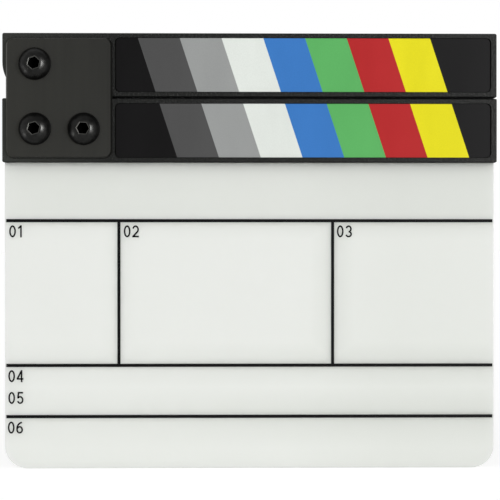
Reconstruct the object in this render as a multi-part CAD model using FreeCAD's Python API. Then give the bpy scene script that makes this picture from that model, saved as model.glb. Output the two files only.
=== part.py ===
"""Clapperboard: an opal acrylic writing board held in the lower clapstick, and an upper
clapstick that swings on a sleeve between two steel hinge plates.

Frame, in millimetres: +X runs to the right as the board is read, +Z is up, and the front
faces -Y. The origin is the middle of the board's lower edge, on the board's mid-plane.
"""

import FreeCAD
import Part

import math
import os
from dataclasses import dataclass

# Writing board
BOARD_WIDTH = 200.0
BOARD_EXPOSED_HEIGHT = 124.75
BOARD_THICKNESS = 3.0
BOARD_CORNER_RADIUS = 9.0
BOARD_EDGE_RADIUS = 0.3
TONGUE_CLEARANCE = 0.3

# Ruled lines on the board, which share its face into rows and columns
LOWEST_ROW = 21.1
MIDDLE_ROW = 20.9
HEADER_ROW = 23.65
LEFT_COLUMN = 46.5
RIGHT_COLUMN = 66.15
RULE_WIDTH = 1.3
DIVIDER_WIDTH = 1.25
RULE_DEPTH = 0.2
RULE_MARGIN = 0.6

# Clapsticks, a little longer than the board is wide: two moulded shells each, split on its rear face
STICK_HEIGHT = 26.0
STICK_OVERHANG = 0.4
LOWER_STICK_THICKNESS = 12.0
CLAP_GAP = 0.4
CLAP_BEVEL_HEIGHT = 0.45
CLAP_BEVEL_DEPTH = 1.2
STICK_CORNER_RADIUS = 0.7
STICK_EDGE_RADIUS = 0.4
PARTING_RADIUS = 0.2
SHELL_WALL = 1.8
RIB_THICKNESS = 1.2
RIB_PITCH = 17.0
RIB_CLEARANCE = 0.5

# Printed label strips, one in the front recess of each stick. The rear recess is bare
LABEL_RIM = 1.8
LABEL_CLAP_RIM = 2.05
LABEL_END_RIM = 2.25
PLATE_TO_LABEL = 0.95
LABEL_CORNER_RADIUS = 2.0
LABEL_RECESS = 1.2
REAR_RECESS = 0.5
LABEL_STRIP = 0.95
LABEL_CLEARANCE = 0.2
LABEL_END_CLEARANCE = 0.5
INK_THICKNESS = 0.05
STRIPE_SLANT = 18.2
STRIPE_LEAD = 0.35
STRIPE_COLOURS = ("dark_grey", "light_grey", "white", "blue", "green", "red", "yellow")

# Hinge plates, and the screws' places in them
PLATE_WIDTH = 43.0
PLATE_THICKNESS = 1.5
PLATE_INSET = 1.6
PLATE_TOP_MARGIN = 1.95
PLATE_LOW_MARGIN = 1.5
PLATE_CORNER_RADIUS = 3.4
PLATE_BEVEL_WIDTH = 0.65
PLATE_BEVEL_DEPTH = 1.1
PLATE_SCREW_EDGE = 11.45
PLATE_SCREW_RISE = 0.4
PIVOT_RISE = 0.23
PIVOT_SETBACK = 0.2
HEEL_RELIEF = 1.0

# M8 button-head screws and the sleeve nuts that they run into
SCREW_DIAMETER = 8.0
HEAD_DIAMETER = 13.1
HEAD_HEIGHT = 4.4
HEAD_LAND = 0.5
SOCKET_WIDTH = 4.4
SOCKET_DEPTH = 2.8
SOCKET_POINT = 1.2
SOCKET_BEVEL = 0.3
BEVEL_DEPTH = 0.2
CROWN_LAND = 0.1
PIVOT_SOCKET_TURN = 18.0
LEFT_SOCKET_TURN = 16.0
RIGHT_SOCKET_TURN = -3.0
SLEEVE_WALL = 1.0
SLEEVE_FLOOR = 1.5
SCREW_CLEARANCE = 0.2
THREAD_CLEARANCE = 0.05
SLEEVE_END_ROOM = 0.5

# Pivot: the sleeve turns in a bush, with a nylon washer on each side of the upper stick
BUSH_WALL = 1.5
RUNNING_CLEARANCE = 0.05
PRESS_CLEARANCE = 0.02
WASHER_WIDTH = 4.0
WASHER_THICKNESS = 0.4
AXIAL_CLEARANCE = 0.1
BOSS_WALL = 2.0

# Self-tapping screws that close the rear covers
COVER_SCREW_COUNT = 3
COVER_SCREW_DIAMETER = 2.9
COVER_SCREW_TIP = 0.6
COVER_HEAD_DIAMETER = 5.6
COVER_HEAD_HEIGHT = 1.8
COVER_HEAD_CLEARANCE = 0.3
COVER_HEAD_SINK = 0.2
CROSS_WIDTH = 0.9
CROSS_LENGTH = 3.2
CROSS_DEPTH = 1.1
PILOT_CLEARANCE = 0.03

# Places that follow from the sizes above
STICK_LENGTH = BOARD_WIDTH + 2 * STICK_OVERHANG
STICK_LEFT = -STICK_LENGTH / 2
STICK_RIGHT = STICK_LENGTH / 2
BOARD_LEFT = -BOARD_WIDTH / 2
BOARD_RIGHT = BOARD_WIDTH / 2
BOARD_FRONT = -BOARD_THICKNESS / 2
BOARD_REAR = BOARD_THICKNESS / 2
SPLIT = BOARD_REAR
SLEEVE_RADIUS = SCREW_DIAMETER / 2 + SLEEVE_WALL
SLEEVE_HOLE = SLEEVE_RADIUS + SCREW_CLEARANCE
BUSH_BORE = SLEEVE_RADIUS + RUNNING_CLEARANCE
BUSH_RADIUS = BUSH_BORE + BUSH_WALL
PIVOT_HEIGHT = STICK_HEIGHT / 2 + PIVOT_RISE
HEEL_RADIUS = PIVOT_HEIGHT + HEEL_RELIEF
UPPER_STICK_THICKNESS = LOWER_STICK_THICKNESS - 2 * (WASHER_THICKNESS + AXIAL_CLEARANCE)
PLATE_LEFT = STICK_LEFT + PLATE_INSET
PLATE_RIGHT = PLATE_LEFT + PLATE_WIDTH
PLATE_SEAT = LOWER_STICK_THICKNESS / 2
PLATE_FACE = PLATE_SEAT + PLATE_THICKNESS
PIVOT_X = STICK_LEFT + PIVOT_HEIGHT + PIVOT_SETBACK
PLATE_SCREW_PLACES = (PIVOT_X, PLATE_RIGHT - PLATE_SCREW_EDGE)
LABEL_LEFT = PLATE_RIGHT + PLATE_TO_LABEL
LABEL_RIGHT = STICK_RIGHT - LABEL_END_RIM
RULE_HEIGHTS = (LOWEST_ROW, LOWEST_ROW + MIDDLE_ROW, BOARD_EXPOSED_HEIGHT - HEADER_ROW)
DIVIDER_PLACES = (BOARD_LEFT + LEFT_COLUMN, BOARD_RIGHT - RIGHT_COLUMN)
EPSILON = 1e-6


@dataclass(frozen=True)
class Stick:
    """One clapstick: its lower edge, whether it claps with that edge or with its upper one, its
    thickness, the radius of its lower left corner, where the bosses of its front shell end, the
    holes that the hinge's sleeves pass through and their height above the stick's middle, and how
    far each front screw's socket is turned."""

    bottom: float
    claps_down: bool
    thickness: float
    heel_radius: float
    boss_end: float
    sleeve_places: tuple
    sleeve_hole: float
    sleeve_rise: float
    socket_turns: tuple

    @property
    def top(self):
        return self.bottom + STICK_HEIGHT

    @property
    def middle(self):
        return self.bottom + STICK_HEIGHT / 2

    @property
    def label_bottom(self):
        return self.bottom + (LABEL_CLAP_RIM if self.claps_down else LABEL_RIM)

    @property
    def label_top(self):
        return self.top - (LABEL_RIM if self.claps_down else LABEL_CLAP_RIM)

    @property
    def clap_bevel(self):
        """Heights between which the bevel along the clapping edge runs, from the clap face inwards."""
        if self.claps_down:
            return self.bottom, self.bottom + CLAP_BEVEL_HEIGHT
        return self.top, self.top - CLAP_BEVEL_HEIGHT

    @property
    def sleeve_height(self):
        """Height of the hinge's sleeves in the stick."""
        return self.middle + self.sleeve_rise

    @property
    def front(self):
        return -self.thickness / 2

    @property
    def rear(self):
        return self.thickness / 2

    @property
    def front_hollow(self):
        """Depth at which the hollow behind the front wall starts."""
        return self.front + LABEL_RECESS + SHELL_WALL

    @property
    def rear_hollow(self):
        """Depth at which the hollow in the rear cover ends."""
        return self.rear - REAR_RECESS - SHELL_WALL

    @property
    def head_seat(self):
        """Depth of the seat under a cover screw's head."""
        return self.rear - REAR_RECESS - COVER_HEAD_SINK - COVER_HEAD_HEIGHT


LOWER = Stick(
    bottom=BOARD_EXPOSED_HEIGHT,
    claps_down=False,
    thickness=LOWER_STICK_THICKNESS,
    heel_radius=STICK_CORNER_RADIUS,
    boss_end=BOARD_FRONT,
    sleeve_places=PLATE_SCREW_PLACES,
    sleeve_hole=SLEEVE_HOLE,
    sleeve_rise=PLATE_SCREW_RISE,
    socket_turns=(LEFT_SOCKET_TURN, RIGHT_SOCKET_TURN),
)
UPPER = Stick(
    bottom=LOWER.top + CLAP_GAP,
    claps_down=True,
    thickness=UPPER_STICK_THICKNESS,
    heel_radius=HEEL_RADIUS,
    boss_end=SPLIT,
    sleeve_places=(PIVOT_X,),
    sleeve_hole=BUSH_RADIUS + PRESS_CLEARANCE,
    sleeve_rise=PIVOT_RISE,
    socket_turns=(PIVOT_SOCKET_TURN,),
)
CLAP_LINE = LOWER.top + CLAP_GAP / 2


def point(x, z, y=0.0):
    """A point given across, up and, if it isn't on the mid-plane, back."""
    return FreeCAD.Vector(x, y, z)


def rounded_outline(left, right, bottom, top, radii):
    """A flat face in the XZ plane. radii run from the lower left corner, anticlockwise."""
    lower_left, lower_right, upper_right, upper_left = (max(radius, 0.0) for radius in radii)
    corners = (
        (left + lower_left, bottom + lower_left, lower_left, 180),
        (right - lower_right, bottom + lower_right, lower_right, 270),
        (right - upper_right, top - upper_right, upper_right, 0),
        (left + upper_left, top - upper_left, upper_left, 90),
    )
    arcs = []
    for x, z, radius, start in corners:
        turns = [math.radians(start + turn) for turn in (0, 45, 90)]
        arcs.append([point(x + radius * math.cos(turn), z + radius * math.sin(turn)) for turn in turns])
    edges = []
    for arc, following in zip(arcs, arcs[1:] + arcs[:1]):
        if (arc[2] - arc[0]).Length > EPSILON:
            edges.append(Part.Arc(*arc).toShape())
        if (following[0] - arc[2]).Length > EPSILON:
            edges.append(Part.LineSegment(arc[2], following[0]).toShape())
    return Part.Face(Part.Wire(edges))


def prism(face, y_front, y_back):
    """The solid that a face in the XZ plane sweeps from one depth to another."""
    placed = face.translated(FreeCAD.Vector(0, y_front, 0))
    return placed.extrude(FreeCAD.Vector(0, y_back - y_front, 0))


def block(x_low, x_high, y_low, y_high, z_low, z_high):
    """A box between two corners."""
    corner = FreeCAD.Vector(x_low, y_low, z_low)
    return Part.makeBox(x_high - x_low, y_high - y_low, z_high - z_low, corner)


def rod(x, z, radius, y_front, y_back):
    """A cylinder along Y between two depths."""
    return Part.makeCylinder(radius, y_back - y_front, point(x, z, y_front), FreeCAD.Vector(0, 1, 0))


def soften(solid, depth, radius, ceiling=math.inf):
    """Rounds the edges of a solid that lie at one depth and below a ceiling."""
    edges = [
        edge for edge in solid.Edges
        if all(abs(vertex.Y - depth) < EPSILON for vertex in edge.Vertexes)
        and any(vertex.Z < ceiling - EPSILON for vertex in edge.Vertexes)
    ]
    return solid.makeFillet(radius, edges)


def join(first, others):
    """One solid from pieces that overlap or share a face."""
    return first.multiFuse(others).removeSplitter()


def label_outline(stick, inset=0.0, end_inset=0.0):
    """The label recess on a stick's face, drawn in by one inset along its length and one at its ends."""
    radius = LABEL_CORNER_RADIUS - inset
    return rounded_outline(
        LABEL_LEFT + end_inset,
        LABEL_RIGHT - end_inset,
        stick.label_bottom + inset,
        stick.label_top - inset,
        (radius, radius, radius, radius),
    )


def stick_outline(stick, inset):
    """A stick's outline, drawn in by inset, with its rounded heel at the lower left."""
    corner = STICK_CORNER_RADIUS - inset
    return rounded_outline(
        STICK_LEFT + inset,
        STICK_RIGHT - inset,
        stick.bottom + inset,
        stick.top - inset,
        (stick.heel_radius - inset, corner, corner, corner),
    )


def cover_screw_places():
    """Places across a stick of the screws that close its rear cover, evenly shared."""
    share = (LABEL_RIGHT - LABEL_LEFT) / COVER_SCREW_COUNT
    return [LABEL_LEFT + share * (index + 0.5) for index in range(COVER_SCREW_COUNT)]


def rib_places():
    """Places across a stick of its stiffening ribs, evenly shared along its length."""
    count = max(2, round(STICK_LENGTH / RIB_PITCH))
    share = STICK_LENGTH / count
    return [STICK_LEFT + share * index for index in range(1, count)]


def ribs(stick, y_front, y_back):
    """The ribs of one shell, which run into its upper and lower walls."""
    half = RIB_THICKNESS / 2
    low = stick.bottom + SHELL_WALL / 2
    high = stick.top - SHELL_WALL / 2
    return [block(x - half, x + half, y_front, y_back, low, high) for x in rib_places()]


def sleeve_rods(stick, radius, y_front, y_back):
    """A cylinder round each of the hinge's sleeves in a stick, for its hole or its boss."""
    return [rod(x, stick.sleeve_height, radius, y_front, y_back) for x in stick.sleeve_places]


def clap_wedge(stick, face):
    """The wedge that a bevel takes off the edge between a stick's face and its clap face."""
    edge, foot = stick.clap_bevel
    corners = [
        point(STICK_LEFT, edge, face),
        point(STICK_LEFT, foot, face),
        point(STICK_LEFT, edge, face - math.copysign(CLAP_BEVEL_DEPTH, face)),
    ]
    return Part.Face(Part.makePolygon(corners + corners[:1])).extrude(FreeCAD.Vector(STICK_LENGTH, 0, 0))


def moulding(stick, face):
    """The outside of one shell, from the split to its face, with a fine groove at the parting line."""
    solid = prism(stick_outline(stick, 0), min(face, SPLIT), max(face, SPLIT))
    solid = soften(soften(solid, face, STICK_EDGE_RADIUS), SPLIT, PARTING_RADIUS)
    return solid.cut(clap_wedge(stick, face))


def front_shell(stick):
    """The front half of a clapstick: face wall, sides, ribs and bosses."""
    shell = moulding(stick, stick.front)
    shell = shell.cut(prism(stick_outline(stick, SHELL_WALL), stick.front_hollow, SPLIT))
    boss_radius = COVER_SCREW_DIAMETER / 2 + BOSS_WALL
    screw_bosses = [
        rod(x, stick.middle, boss_radius, stick.front_hollow, stick.boss_end)
        for x in cover_screw_places()
    ]
    shell = join(
        shell,
        ribs(stick, stick.front_hollow, stick.boss_end - RIB_CLEARANCE)
        + sleeve_rods(stick, stick.sleeve_hole + BOSS_WALL, stick.front_hollow, stick.boss_end)
        + screw_bosses,
    )
    pilot_radius = COVER_SCREW_DIAMETER / 2 + PILOT_CLEARANCE
    pilots = [
        rod(x, stick.middle, pilot_radius, stick.front_hollow, SPLIT)
        for x in cover_screw_places()
    ]
    recess = prism(label_outline(stick), stick.front, stick.front + LABEL_RECESS)
    return shell.cut(sleeve_rods(stick, stick.sleeve_hole, stick.front, SPLIT) + pilots + [recess])


def rear_cover(stick):
    """The rear half of a clapstick, with a plain recess that its closing screws sit in."""
    cover = moulding(stick, stick.rear)
    cover = cover.cut(prism(stick_outline(stick, SHELL_WALL), SPLIT, stick.rear_hollow))
    head_radius = COVER_HEAD_DIAMETER / 2 + COVER_HEAD_CLEARANCE
    screw_bosses = [
        rod(x, stick.middle, head_radius + BOSS_WALL, SPLIT, stick.rear_hollow)
        for x in cover_screw_places()
    ]
    cover = join(
        cover,
        ribs(stick, SPLIT + RIB_CLEARANCE, stick.rear_hollow)
        + sleeve_rods(stick, stick.sleeve_hole + BOSS_WALL, SPLIT, stick.rear_hollow)
        + screw_bosses,
    )
    shank_radius = COVER_SCREW_DIAMETER / 2 + SCREW_CLEARANCE
    screw_holes = []
    for x in cover_screw_places():
        screw_holes.append(rod(x, stick.middle, shank_radius, SPLIT, stick.rear))
        screw_holes.append(rod(x, stick.middle, head_radius, stick.head_seat, stick.rear))
    recess = prism(label_outline(stick), stick.rear - REAR_RECESS, stick.rear)
    return cover.cut(sleeve_rods(stick, stick.sleeve_hole, SPLIT, stick.rear) + screw_holes + [recess])


def tongue_half_width():
    """Half the width of the board's tongue inside the lower stick."""
    return STICK_LENGTH / 2 - SHELL_WALL - TONGUE_CLEARANCE


def lower_front_shell():
    """The lower stick's front shell, with the slot that the board's tongue enters through."""
    half = tongue_half_width() + TONGUE_CLEARANCE
    slot = block(-half, half, BOARD_FRONT, SPLIT, LOWER.bottom, LOWER.bottom + SHELL_WALL)
    return front_shell(LOWER).cut(slot)


def rule_lines(y_front, y_back):
    """The ruled lines of the board's face between two depths: the lowest one, and a ladder."""
    left = BOARD_LEFT + RULE_MARGIN
    right = BOARD_RIGHT - RULE_MARGIN
    half = RULE_WIDTH / 2
    lowest, lower, upper = (
        block(left, right, y_front, y_back, z - half, z + half) for z in RULE_HEIGHTS
    )
    half = DIVIDER_WIDTH / 2
    dividers = [
        block(x - half, x + half, y_front, y_back, RULE_HEIGHTS[1], RULE_HEIGHTS[2])
        for x in DIVIDER_PLACES
    ]
    return Part.makeCompound([lowest] + join(lower, [upper] + dividers).Solids)


def writing_board():
    """The acrylic sheet: a panel with round lower corners and a tongue for the lower stick."""
    outline = rounded_outline(
        BOARD_LEFT,
        BOARD_RIGHT,
        0.0,
        BOARD_EXPOSED_HEIGHT,
        (BOARD_CORNER_RADIUS, BOARD_CORNER_RADIUS, 0.0, 0.0),
    )
    panel = prism(outline, BOARD_FRONT, BOARD_REAR)
    for face in (BOARD_FRONT, BOARD_REAR):
        panel = soften(panel, face, BOARD_EDGE_RADIUS, BOARD_EXPOSED_HEIGHT)
    tongue_top = LOWER.top - SHELL_WALL - TONGUE_CLEARANCE
    half = tongue_half_width()
    tongue = block(-half, half, BOARD_FRONT, BOARD_REAR, BOARD_EXPOSED_HEIGHT, tongue_top)
    sheet = join(panel, [tongue])
    shank_radius = COVER_SCREW_DIAMETER / 2 + SCREW_CLEARANCE
    holes = sleeve_rods(LOWER, SLEEVE_HOLE, BOARD_FRONT, BOARD_REAR) + [
        rod(x, LOWER.middle, shank_radius, BOARD_FRONT, BOARD_REAR) for x in cover_screw_places()
    ]
    return sheet.cut(holes + rule_lines(BOARD_FRONT, BOARD_FRONT + RULE_DEPTH).Solids)


def strip_outline(stick):
    """The outline of a stick's label strip, which is a little smaller than its recess."""
    return label_outline(stick, LABEL_CLEARANCE, LABEL_END_CLEARANCE)


def label_strip(stick):
    """The black strip of a stick's label, stuck to the floor of its recess."""
    floor = stick.front + LABEL_RECESS
    return prism(strip_outline(stick), floor - LABEL_STRIP, floor)


def stripe(stick, index):
    """One slanted colour field of a label. On the clap line the fields and the black ends share
    the recess evenly, past a short lead at its left."""
    lean = math.tan(math.radians(STRIPE_SLANT))
    pitch = (LABEL_RIGHT - LABEL_LEFT - STRIPE_LEAD) / (len(STRIPE_COLOURS) + 2)
    low = stick.label_bottom
    high = stick.label_top
    left = LABEL_LEFT + STRIPE_LEAD + pitch * (index + 1)
    corners = [
        point(x + (CLAP_LINE - z) * lean, z)
        for x, z in ((left, low), (left + pitch, low), (left + pitch, high), (left, high))
    ]
    field = Part.Face(Part.makePolygon(corners + corners[:1]))
    front = stick.front + LABEL_RECESS - LABEL_STRIP - INK_THICKNESS
    strip = prism(strip_outline(stick), front, front + INK_THICKNESS)
    return prism(field, front, front + INK_THICKNESS).common(strip)


def plate_outline(inset, depth):
    """The outline of a hinge plate at one depth, drawn in by inset."""
    outline = rounded_outline(
        PLATE_LEFT + inset,
        PLATE_RIGHT - inset,
        LOWER.bottom + PLATE_LOW_MARGIN + inset,
        UPPER.top - PLATE_TOP_MARGIN - inset,
        (PLATE_CORNER_RADIUS - inset,) * 4,
    )
    return outline.translated(FreeCAD.Vector(0, depth, 0)).OuterWire


def hinge_plate(seat, face, hole):
    """A hinge plate from its seat to its bevelled face, with three holes of one radius."""
    shoulder = face - math.copysign(PLATE_BEVEL_DEPTH, face)
    foot = prism(Part.Face(plate_outline(0, 0)), min(seat, shoulder), max(seat, shoulder))
    bevel = Part.makeLoft([plate_outline(0, shoulder), plate_outline(PLATE_BEVEL_WIDTH, face)], True, True)
    low, high = sorted((seat, face))
    holes = sleeve_rods(LOWER, hole, low, high) + sleeve_rods(UPPER, hole, low, high)
    return join(foot, [bevel]).cut(holes)


def front_hinge_plate():
    """The front plate, drilled for the screws' shanks."""
    return hinge_plate(-PLATE_SEAT, -PLATE_FACE, SCREW_DIAMETER / 2 + SCREW_CLEARANCE)


def rear_hinge_plate():
    """The rear plate, drilled for the sleeves."""
    return hinge_plate(PLATE_SEAT, PLATE_FACE, SLEEVE_HOLE)


def hexagon(width, depth):
    """A hexagonal wire round the Y axis at one depth, by its width across flats."""
    radius = width / math.sqrt(3)
    turns = [math.radians(60 * index) for index in range(7)]
    corners = [point(radius * math.cos(turn), radius * math.sin(turn), depth) for turn in turns]
    return Part.makePolygon(corners)


def hexagon_socket():
    """The hollow of a socket whose mouth lies on y = 0: bevelled edge, hexagon and drilled point."""
    mouth = hexagon(SOCKET_WIDTH + 2 * SOCKET_BEVEL, 0)
    bevel = Part.makeLoft([mouth, hexagon(SOCKET_WIDTH, BEVEL_DEPTH)], True, True)
    straight = prism(Part.Face(hexagon(SOCKET_WIDTH, 0)), BEVEL_DEPTH, SOCKET_DEPTH)
    drilled = Part.makeCone(
        SOCKET_WIDTH / math.sqrt(3), 0, SOCKET_POINT, point(0, 0, SOCKET_DEPTH), FreeCAD.Vector(0, 1, 0)
    )
    return [bevel, straight, drilled]


def button_head():
    """A domed head with a hexagon socket. It sits on the plane y = 0 and rises towards -Y."""
    crown = (SOCKET_WIDTH + 2 * SOCKET_BEVEL) / math.sqrt(3) + CROWN_LAND
    rim = HEAD_DIAMETER / 2
    centre = (crown**2 + HEAD_HEIGHT**2 - rim**2 - HEAD_LAND**2) / (2 * (HEAD_HEIGHT - HEAD_LAND))
    dome = math.hypot(rim, HEAD_LAND - centre)
    middle = (math.atan2(HEAD_LAND - centre, rim) + math.atan2(HEAD_HEIGHT - centre, crown)) / 2
    shoulder = FreeCAD.Vector(rim, -HEAD_LAND, 0)
    bulge = FreeCAD.Vector(dome * math.cos(middle), -(centre + dome * math.sin(middle)), 0)
    top = FreeCAD.Vector(crown, -HEAD_HEIGHT, 0)
    seat_middle = FreeCAD.Vector(0, 0, 0)
    seat_rim = FreeCAD.Vector(rim, 0, 0)
    top_middle = FreeCAD.Vector(0, -HEAD_HEIGHT, 0)
    profile = Part.Wire([
        Part.LineSegment(seat_middle, seat_rim).toShape(),
        Part.LineSegment(seat_rim, shoulder).toShape(),
        Part.Arc(shoulder, bulge, top).toShape(),
        Part.LineSegment(top, top_middle).toShape(),
        Part.LineSegment(top_middle, seat_middle).toShape(),
    ])
    head = Part.Face(profile).revolve(seat_middle, FreeCAD.Vector(0, 1, 0), 360)
    return head.cut([hollow.translated(top_middle) for hollow in hexagon_socket()])


def thread_depth():
    """Depth of a sleeve nut's thread, from its open end on the front plate."""
    return PLATE_FACE + PLATE_SEAT - SLEEVE_FLOOR


def button_screws(stick):
    """The front screws of one stick: heads on the front plate, shanks back into the sleeve nuts."""
    length = PLATE_THICKNESS + thread_depth() - SLEEVE_END_ROOM
    screw = join(button_head(), [rod(0, 0, SCREW_DIAMETER / 2, 0, length)])
    screws = []
    for x, turn in zip(stick.sleeve_places, stick.socket_turns):
        placed = screw.translated(point(x, stick.sleeve_height, -PLATE_FACE))
        placed.rotate(point(x, stick.sleeve_height), FreeCAD.Vector(0, -1, 0), turn)
        screws.append(placed)
    return Part.makeCompound(screws)


def sleeve_nuts(stick):
    """The rear nuts of one stick: heads on the rear plate, barrels forward to the front plate."""
    head = button_head()
    head.rotate(FreeCAD.Vector(0, 0, 0), FreeCAD.Vector(0, 0, 1), 180)
    open_end = -PLATE_FACE - PLATE_SEAT
    barrel = rod(0, 0, SLEEVE_RADIUS, open_end, 0)
    thread = rod(0, 0, SCREW_DIAMETER / 2 + THREAD_CLEARANCE, open_end, open_end + thread_depth())
    nut = join(head, [barrel]).cut(thread)
    places = [point(x, stick.sleeve_height, PLATE_FACE) for x in stick.sleeve_places]
    return Part.makeCompound([nut.translated(place) for place in places])


def ring(outer, inner, y_front, y_back):
    """A round ring on the pivot between two depths, by its radii."""
    disc = rod(PIVOT_X, UPPER.sleeve_height, outer, y_front, y_back)
    return disc.cut(rod(PIVOT_X, UPPER.sleeve_height, inner, y_front, y_back))


def pivot_bush():
    """The bush pressed through the upper stick, which turns on the pivot sleeve."""
    return ring(BUSH_RADIUS, BUSH_BORE, UPPER.front, UPPER.rear)


def pivot_washer(y_front):
    """A nylon washer on the pivot sleeve, between a hinge plate and the upper stick."""
    return ring(SLEEVE_HOLE + WASHER_WIDTH, SLEEVE_HOLE, y_front, y_front + WASHER_THICKNESS)


def cover_screw(stick, x):
    """A self-tapping screw that closes a rear cover: pan head, cross recess and pointed shank."""
    head_top = stick.head_seat + COVER_HEAD_HEIGHT
    radius = COVER_SCREW_DIAMETER / 2
    head = rod(x, stick.middle, COVER_HEAD_DIAMETER / 2, stick.head_seat, head_top)
    head = soften(head, head_top, COVER_HEAD_HEIGHT / 2)
    shank = rod(x, stick.middle, radius, stick.front_hollow + COVER_SCREW_TIP, stick.head_seat)
    tip = Part.makeCone(
        radius / 2,
        radius,
        COVER_SCREW_TIP,
        point(x, stick.middle, stick.front_hollow),
        FreeCAD.Vector(0, 1, 0),
    )
    wide = CROSS_LENGTH / 2
    narrow = CROSS_WIDTH / 2
    floor = head_top - CROSS_DEPTH
    arms = [
        block(x - across, x + across, floor, head_top, stick.middle - up, stick.middle + up)
        for across, up in ((wide, narrow), (narrow, wide))
    ]
    return join(head, [shank, tip]).cut(arms)


def cover_screws(stick):
    """The closing screws of one stick, as a group of separate solids."""
    return Part.makeCompound([cover_screw(stick, x) for x in cover_screw_places()])


def build():
    """Every piece of the clapperboard, by the name of its node."""
    nodes = {
        "writing_board": writing_board(),
        "board_rules": rule_lines(BOARD_FRONT, BOARD_FRONT + RULE_DEPTH),
        "lower_stick_front": lower_front_shell(),
        "upper_stick_front": front_shell(UPPER),
        "front_hinge_plate": front_hinge_plate(),
        "rear_hinge_plate": rear_hinge_plate(),
        "plate_screws": button_screws(LOWER),
        "pivot_screw": button_screws(UPPER),
        "plate_sleeve_nuts": sleeve_nuts(LOWER),
        "pivot_sleeve_nut": sleeve_nuts(UPPER),
        "pivot_bush": pivot_bush(),
        "front_pivot_washer": pivot_washer(-PLATE_SEAT),
        "rear_pivot_washer": pivot_washer(PLATE_SEAT - WASHER_THICKNESS),
    }
    for place, stick in (("lower", LOWER), ("upper", UPPER)):
        nodes[f"{place}_stick_rear"] = rear_cover(stick)
        nodes[f"{place}_cover_screws"] = cover_screws(stick)
        nodes[f"{place}_label_strip"] = label_strip(stick)
        for index, colour in enumerate(STRIPE_COLOURS):
            nodes[f"{place}_stripe_{colour}"] = stripe(stick, index)
    return nodes


def main():
    """Builds the nodes and writes each one to its own STEP file."""
    os.makedirs("parts", exist_ok=True)
    for name, shape in build().items():
        valid = shape.isValid() and all(solid.isClosed() for solid in shape.Solids)
        print(f"{name}: {len(shape.Solids)} solids, {shape.Volume:.1f} mm3, valid {valid}")
        shape.exportStep(f"parts/{name}.step")


main()
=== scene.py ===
"""Clapperboard in a plain studio.

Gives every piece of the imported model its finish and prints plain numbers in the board's fields.
The frame is in metres: +X runs to the right as the board is read, +Z is up, and the written face
looks towards -Y.
"""

import logging
from dataclasses import dataclass
from enum import Enum

import bpy
import numpy as np
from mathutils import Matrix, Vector


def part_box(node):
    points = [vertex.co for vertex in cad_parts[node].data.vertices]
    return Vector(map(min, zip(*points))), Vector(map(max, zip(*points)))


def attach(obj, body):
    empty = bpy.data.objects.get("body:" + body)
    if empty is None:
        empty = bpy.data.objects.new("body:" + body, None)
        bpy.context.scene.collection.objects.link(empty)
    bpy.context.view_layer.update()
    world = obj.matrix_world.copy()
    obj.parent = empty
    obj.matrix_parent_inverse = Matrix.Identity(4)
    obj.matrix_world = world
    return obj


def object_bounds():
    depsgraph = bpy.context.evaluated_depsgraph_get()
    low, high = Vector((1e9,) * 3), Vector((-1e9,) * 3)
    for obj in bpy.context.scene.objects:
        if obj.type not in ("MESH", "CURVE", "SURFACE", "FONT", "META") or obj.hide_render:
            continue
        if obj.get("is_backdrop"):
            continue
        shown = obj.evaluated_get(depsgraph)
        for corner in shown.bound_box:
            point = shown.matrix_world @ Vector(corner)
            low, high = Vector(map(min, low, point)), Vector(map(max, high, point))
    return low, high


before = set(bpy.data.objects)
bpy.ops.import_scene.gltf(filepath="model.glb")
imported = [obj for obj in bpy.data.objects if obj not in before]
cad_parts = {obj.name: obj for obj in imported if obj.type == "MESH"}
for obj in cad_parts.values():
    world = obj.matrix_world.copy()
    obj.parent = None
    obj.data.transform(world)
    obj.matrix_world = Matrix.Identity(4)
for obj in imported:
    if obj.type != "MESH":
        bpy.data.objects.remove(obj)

Material = bpy.types.Material
Socket = bpy.types.NodeSocket
Colour = tuple[float, float, float]
Point = tuple[float, float, float]
Span = tuple[float, float]

MILLIMETRE = 0.001
# Most values of a cloudy noise lie in this range, and most sums of two spread ones in the next.
NOISE_SPAN: Span = (0.3, 0.7)
SUM_SPAN: Span = (0.2, 1.8)

log = logging.getLogger("clapperboard")


def linear(red: int, green: int, blue: int) -> Colour:
    """Turns a colour written in display values from 0 to 255 into linear light.

    Args:
        red: Red display value.
        green: Green display value.
        blue: Blue display value.

    Returns:
        The three linear values from 0 to 1, by the usual display curve.
    """
    shown = np.array((red, green, blue)) / 255.0
    light = np.where(shown <= 0.04045, shown / 12.92, ((shown + 0.055) / 1.055) ** 2.4)
    return tuple(float(value) for value in light)


def shade(colour: Colour, factor: float) -> Colour:
    """A colour made darker or lighter by a factor."""
    return tuple(value * factor for value in colour)


class Stick(Enum):
    """The two clapsticks, by the start of their nodes' names."""

    LOWER = "lower"
    UPPER = "upper"


class Stripe(Enum):
    """The printed colour fields of a label, from the hinge outwards, in linear light."""

    DARK_GREY = linear(82, 82, 82)
    LIGHT_GREY = linear(157, 159, 158)
    WHITE = linear(232, 237, 231)
    BLUE = linear(61, 125, 200)
    GREEN = linear(97, 184, 102)
    RED = linear(187, 40, 42)
    YELLOW = linear(238, 228, 26)


class Axis(Enum):
    """The axes of a piece's own coordinates."""

    ACROSS = "X"
    DEPTH = "Y"
    UP = "Z"


class Reading(Enum):
    """What a material reads of a surface: its place in metres, or its outward direction."""

    PLACE = "Object"
    FACING = "Normal"


class Join(Enum):
    """Ways to join patterns, by the Math node's names for them."""

    SUM = "ADD"
    DIFFERENCE = "SUBTRACT"
    PRODUCT = "MULTIPLY"
    LARGEST = "MAXIMUM"
    SMALLEST = "MINIMUM"


class Detail(Enum):
    """Number of finer layers in a cloudy noise."""

    SMOOTH = 2.0
    FINE = 3.0


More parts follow.
